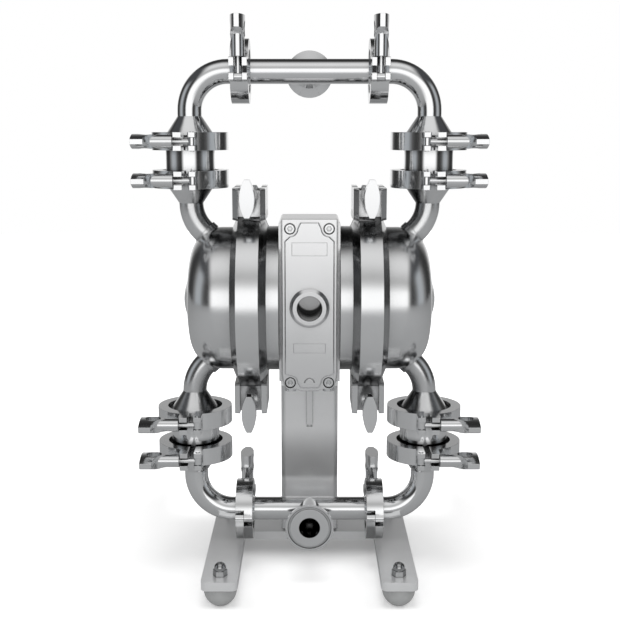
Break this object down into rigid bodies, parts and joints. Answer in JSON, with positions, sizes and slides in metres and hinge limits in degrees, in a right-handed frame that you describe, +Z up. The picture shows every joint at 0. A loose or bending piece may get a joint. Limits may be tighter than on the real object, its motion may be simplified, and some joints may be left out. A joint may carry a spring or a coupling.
{
  "type": "air-operated double-diaphragm pump",
  "caption": "Hygienic air-operated double-diaphragm pump with polished clamped tubing, ball check valves and a footed stand.",
  "frame": {"origin": "middle of the pump at floor level, between the four feet", "axes": "+X to the viewer's right along the diaphragm shaft, +Y to the back, where the discharge port points, +Z up"},
  "size_m": [0.3538, 0.214, 0.5986],
  "materials": {
    "polished_steel": "mirror-polished stainless steel",
    "clamp_steel": "polished cast stainless steel",
    "bright_fasteners": "bright stainless steel",
    "housing_metal": "fine bead-blasted satin",
    "stand_steel": "satin brushed stainless steel",
    "foot_rubber": "matt light grey rubber",
    "diaphragm_rubber": "white fluoropolymer-faced rubber",
    "gasket_rubber": "black rubber",
    "ball_plastic": "white fluoropolymer",
    "bushing_plastic": "natural plastic"
  },
  "bodies": {
    "root": {"air_covers": "polished_steel", "ball_cages": "polished_steel", "band_bolts": "bright_fasteners", "base_frame": "stand_steel", "center_housing": "housing_metal", "clamp_bands": "clamp_steel", "clamp_pins": "bright_fasteners", "corner_elbows": "polished_steel", "diaphragms": "diaphragm_rubber", "discharge_manifold": "polished_steel", "feet": "foot_rubber", "fluid_cover_left": "polished_steel", "fluid_cover_right": "polished_steel", "foot_cap_nuts": "bright_fasteners", "front_cover": "housing_metal", "housing_screws": "bright_fasteners", "manifold_gaskets": "gasket_rubber", "pivot_jaws": "clamp_steel", "rear_cover": "housing_metal", "shaft_bushings": "bushing_plastic", "slotted_jaws": "clamp_steel", "stand_column": "stand_steel", "suction_manifold": "polished_steel", "valve_seats": "polished_steel", "valve_spools": "polished_steel"},
    "shaft": {"diaphragm_shaft": "polished_steel", "diaphragm_plates": "polished_steel"},
    "air_valve": {"air_valve_spool": "polished_steel"},
    "ball_discharge_left": {"valve_ball_discharge_left": "ball_plastic"},
    "ball_discharge_right": {"valve_ball_discharge_right": "ball_plastic"},
    "ball_suction_left": {"valve_ball_suction_left": "ball_plastic"},
    "ball_suction_right": {"valve_ball_suction_right": "ball_plastic"},
    "bolt_discharge_left_top": {"swing_bolt_discharge_left_top": "clamp_steel"},
    "nut_discharge_left_top": {"wing_nut_discharge_left_top": "clamp_steel"},
    "bolt_discharge_left_bottom": {"swing_bolt_discharge_left_bottom": "clamp_steel"},
    "nut_discharge_left_bottom": {"wing_nut_discharge_left_bottom": "clamp_steel"},
    "bolt_discharge_left_manifold": {"swing_bolt_discharge_left_manifold": "clamp_steel"},
    "nut_discharge_left_manifold": {"wing_nut_discharge_left_manifold": "clamp_steel"},
    "bolt_discharge_right_top": {"swing_bolt_discharge_right_top": "clamp_steel"},
    "nut_discharge_right_top": {"wing_nut_discharge_right_top": "clamp_steel"},
    "bolt_discharge_right_bottom": {"swing_bolt_discharge_right_bottom": "clamp_steel"},
    "nut_discharge_right_bottom": {"wing_nut_discharge_right_bottom": "clamp_steel"},
    "bolt_discharge_right_manifold": {"swing_bolt_discharge_right_manifold": "clamp_steel"},
    "nut_discharge_right_manifold": {"wing_nut_discharge_right_manifold": "clamp_steel"},
    "bolt_suction_left_top": {"swing_bolt_suction_left_top": "clamp_steel"},
    "nut_suction_left_top": {"wing_nut_suction_left_top": "clamp_steel"},
    "bolt_suction_left_bottom": {"swing_bolt_suction_left_bottom": "clamp_steel"},
    "nut_suction_left_bottom": {"wing_nut_suction_left_bottom": "clamp_steel"},
    "bolt_suction_left_manifold": {"swing_bolt_suction_left_manifold": "clamp_steel"},
    "nut_suction_left_manifold": {"wing_nut_suction_left_manifold": "clamp_steel"},
    "bolt_suction_right_top": {"swing_bolt_suction_right_top": "clamp_steel"},
    "nut_suction_right_top": {"wing_nut_suction_right_top": "clamp_steel"},
    "bolt_suction_right_bottom": {"swing_bolt_suction_right_bottom": "clamp_steel"},
    "nut_suction_right_bottom": {"wing_nut_suction_right_bottom": "clamp_steel"},
    "bolt_suction_right_manifold": {"swing_bolt_suction_right_manifold": "clamp_steel"},
    "nut_suction_right_manifold": {"wing_nut_suction_right_manifold": "clamp_steel"},
    "band_nut_left_top": {"band_nut_left_top": "clamp_steel"},
    "band_nut_left_bottom": {"band_nut_left_bottom": "clamp_steel"},
    "band_nut_right_top": {"band_nut_right_top": "clamp_steel"},
    "band_nut_right_bottom": {"band_nut_right_bottom": "clamp_steel"}
  },
  "joints": [
    {"name": "shaft_slide", "type": "slide", "parent": "root", "child": "shaft", "axis": [1, 0, 0], "range_m": [-0.01, 0.01], "deforming": ["diaphragms"]},
    {"name": "air_valve_slide", "type": "slide", "parent": "root", "child": "air_valve", "axis": [1, 0, 0], "range_m": [-0.006, 0.006]},
    {"name": "ball_lift_discharge_left", "type": "slide", "parent": "root", "child": "ball_discharge_left", "axis": [0, 0, 1], "range_m": [0, 0.006]},
    {"name": "ball_lift_discharge_right", "type": "slide", "parent": "root", "child": "ball_discharge_right", "axis": [0, 0, 1], "range_m": [0, 0.006]},
    {"name": "ball_lift_suction_left", "type": "slide", "parent": "root", "child": "ball_suction_left", "axis": [0, 0, 1], "range_m": [0, 0.006]},
    {"name": "ball_lift_suction_right", "type": "slide", "parent": "root", "child": "ball_suction_right", "axis": [0, 0, 1], "range_m": [0, 0.006]},
    {"name": "swing_discharge_left_top", "type": "hinge", "parent": "root", "child": "bolt_discharge_left_top", "pos_m": [-0.11765, -0.049, 0.4756], "axis": [0, 0, 1], "range_deg": [0, 95]},
    {"name": "spin_discharge_left_top", "type": "hinge", "parent": "bolt_discharge_left_top", "child": "nut_discharge_left_top", "pos_m": [-0.13745, -0.049, 0.4756], "axis": [-1, 0, 0], "continuous": true},
    {"name": "swing_discharge_left_bottom", "type": "hinge", "parent": "root", "child": "bolt_discharge_left_bottom", "pos_m": [-0.11765, -0.049, 0.4366], "axis": [0, 0, 1], "range_deg": [0, 95]},
    {"name": "spin_discharge_left_bottom", "type": "hinge", "parent": "bolt_discharge_left_bottom", "child": "nut_discharge_left_bottom", "pos_m": [-0.13745, -0.049, 0.4366], "axis": [-1, 0, 0], "continuous": true},
    {"name": "swing_discharge_left_manifold", "type": "hinge", "parent": "root", "child": "bolt_discharge_left_manifold", "pos_m": [-0.0712, -0.042, 0.53935], "axis": [1, 0, 0], "range_deg": [0, 95]},
    {"name": "spin_discharge_left_manifold", "type": "hinge", "parent": "bolt_discharge_left_manifold", "child": "nut_discharge_left_manifold", "pos_m": [-0.0712, -0.042, 0.55915], "axis": [0, 0, 1], "continuous": true},
    {"name": "swing_discharge_right_top", "type": "hinge", "parent": "root", "child": "bolt_discharge_right_top", "pos_m": [0.11765, -0.049, 0.4756], "axis": [0, 0, -1], "range_deg": [0, 95]},
    {"name": "spin_discharge_right_top", "type": "hinge", "parent": "bolt_discharge_right_top", "child": "nut_discharge_right_top", "pos_m": [0.13745, -0.049, 0.4756], "axis": [1, 0, 0], "continuous": true},
    {"name": "swing_discharge_right_bottom", "type": "hinge", "parent": "root", "child": "bolt_discharge_right_bottom", "pos_m": [0.11765, -0.049, 0.4366], "axis": [0, 0, -1], "range_deg": [0, 95]},
    {"name": "spin_discharge_right_bottom", "type": "hinge", "parent": "bolt_discharge_right_bottom", "child": "nut_discharge_right_bottom", "pos_m": [0.13745, -0.049, 0.4366], "axis": [1, 0, 0], "continuous": true},
    {"name": "swing_discharge_right_manifold", "type": "hinge", "parent": "root", "child": "bolt_discharge_right_manifold", "pos_m": [0.0712, -0.042, 0.53935], "axis": [1, 0, 0], "range_deg": [0, 95]},
    {"name": "spin_discharge_right_manifold", "type": "hinge", "parent": "bolt_discharge_right_manifold", "child": "nut_discharge_right_manifold", "pos_m": [0.0712, -0.042, 0.55915], "axis": [0, 0, 1], "continuous": true},
    {"name": "swing_suction_left_top", "type": "hinge", "parent": "root", "child": "bolt_suction_left_top", "pos_m": [-0.11765, -0.049, 0.182], "axis": [0, 0, 1], "range_deg": [0, 95]},
    {"name": "spin_suction_left_top", "type": "hinge", "parent": "bolt_suction_left_top", "child": "nut_suction_left_top", "pos_m": [-0.13745, -0.049, 0.182], "axis": [-1, 0, 0], "continuous": true},
    {"name": "swing_suction_left_bottom", "type": "hinge", "parent": "root", "child": "bolt_suction_left_bottom", "pos_m": [-0.11765, -0.049, 0.143], "axis": [0, 0, 1], "range_deg": [0, 95]},
    {"name": "spin_suction_left_bottom", "type": "hinge", "parent": "bolt_suction_left_bottom", "child": "nut_suction_left_bottom", "pos_m": [-0.13745, -0.049, 0.143], "axis": [-1, 0, 0], "continuous": true},
    {"name": "swing_suction_left_manifold", "type": "hinge", "parent": "root", "child": "bolt_suction_left_manifold", "pos_m": [-0.0712, 0.042, 0.06455], "axis": [-1, 0, 0], "range_deg": [0, 95]},
    {"name": "spin_suction_left_manifold", "type": "hinge", "parent": "bolt_suction_left_manifold", "child": "nut_suction_left_manifold", "pos_m": [-0.0712, 0.042, 0.08435], "axis": [0, 0, 1], "continuous": true},
    {"name": "swing_suction_right_top", "type": "hinge", "parent": "root", "child": "bolt_suction_right_top", "pos_m": [0.11765, -0.049, 0.182], "axis": [0, 0, -1], "range_deg": [0, 95]},
    {"name": "spin_suction_right_top", "type": "hinge", "parent": "bolt_suction_right_top", "child": "nut_suction_right_top", "pos_m": [0.13745, -0.049, 0.182], "axis": [1, 0, 0], "continuous": true},
    {"name": "swing_suction_right_bottom", "type": "hinge", "parent": "root", "child": "bolt_suction_right_bottom", "pos_m": [0.11765, -0.049, 0.143], "axis": [0, 0, -1], "range_deg": [0, 95]},
    {"name": "spin_suction_right_bottom", "type": "hinge", "parent": "bolt_suction_right_bottom", "child": "nut_suction_right_bottom", "pos_m": [0.13745, -0.049, 0.143], "axis": [1, 0, 0], "continuous": true},
    {"name": "swing_suction_right_manifold", "type": "hinge", "parent": "root", "child": "bolt_suction_right_manifold", "pos_m": [0.0712, 0.042, 0.06455], "axis": [-1, 0, 0], "range_deg": [0, 95]},
    {"name": "spin_suction_right_manifold", "type": "hinge", "parent": "bolt_suction_right_manifold", "child": "nut_suction_right_manifold", "pos_m": [0.0712, 0.042, 0.08435], "axis": [0, 0, 1], "continuous": true},
    {"name": "spin_band_nut_left_top", "type": "hinge", "parent": "root", "child": "band_nut_left_top", "pos_m": [-0.0622, -0.0323, 0.4195], "axis": [0, -1, 0], "continuous": true},
    {"name": "spin_band_nut_left_bottom", "type": "hinge", "parent": "root", "child": "band_nut_left_bottom", "pos_m": [-0.0622, -0.0323, 0.1991], "axis": [0, -1, 0], "continuous": true},
    {"name": "spin_band_nut_right_top", "type": "hinge", "parent": "root", "child": "band_nut_right_top", "pos_m": [0.0622, -0.0323, 0.4195], "axis": [0, -1, 0], "continuous": true},
    {"name": "spin_band_nut_right_bottom", "type": "hinge", "parent": "root", "child": "band_nut_right_bottom", "pos_m": [0.0622, -0.0323, 0.1991], "axis": [0, -1, 0], "continuous": true}
  ]
}
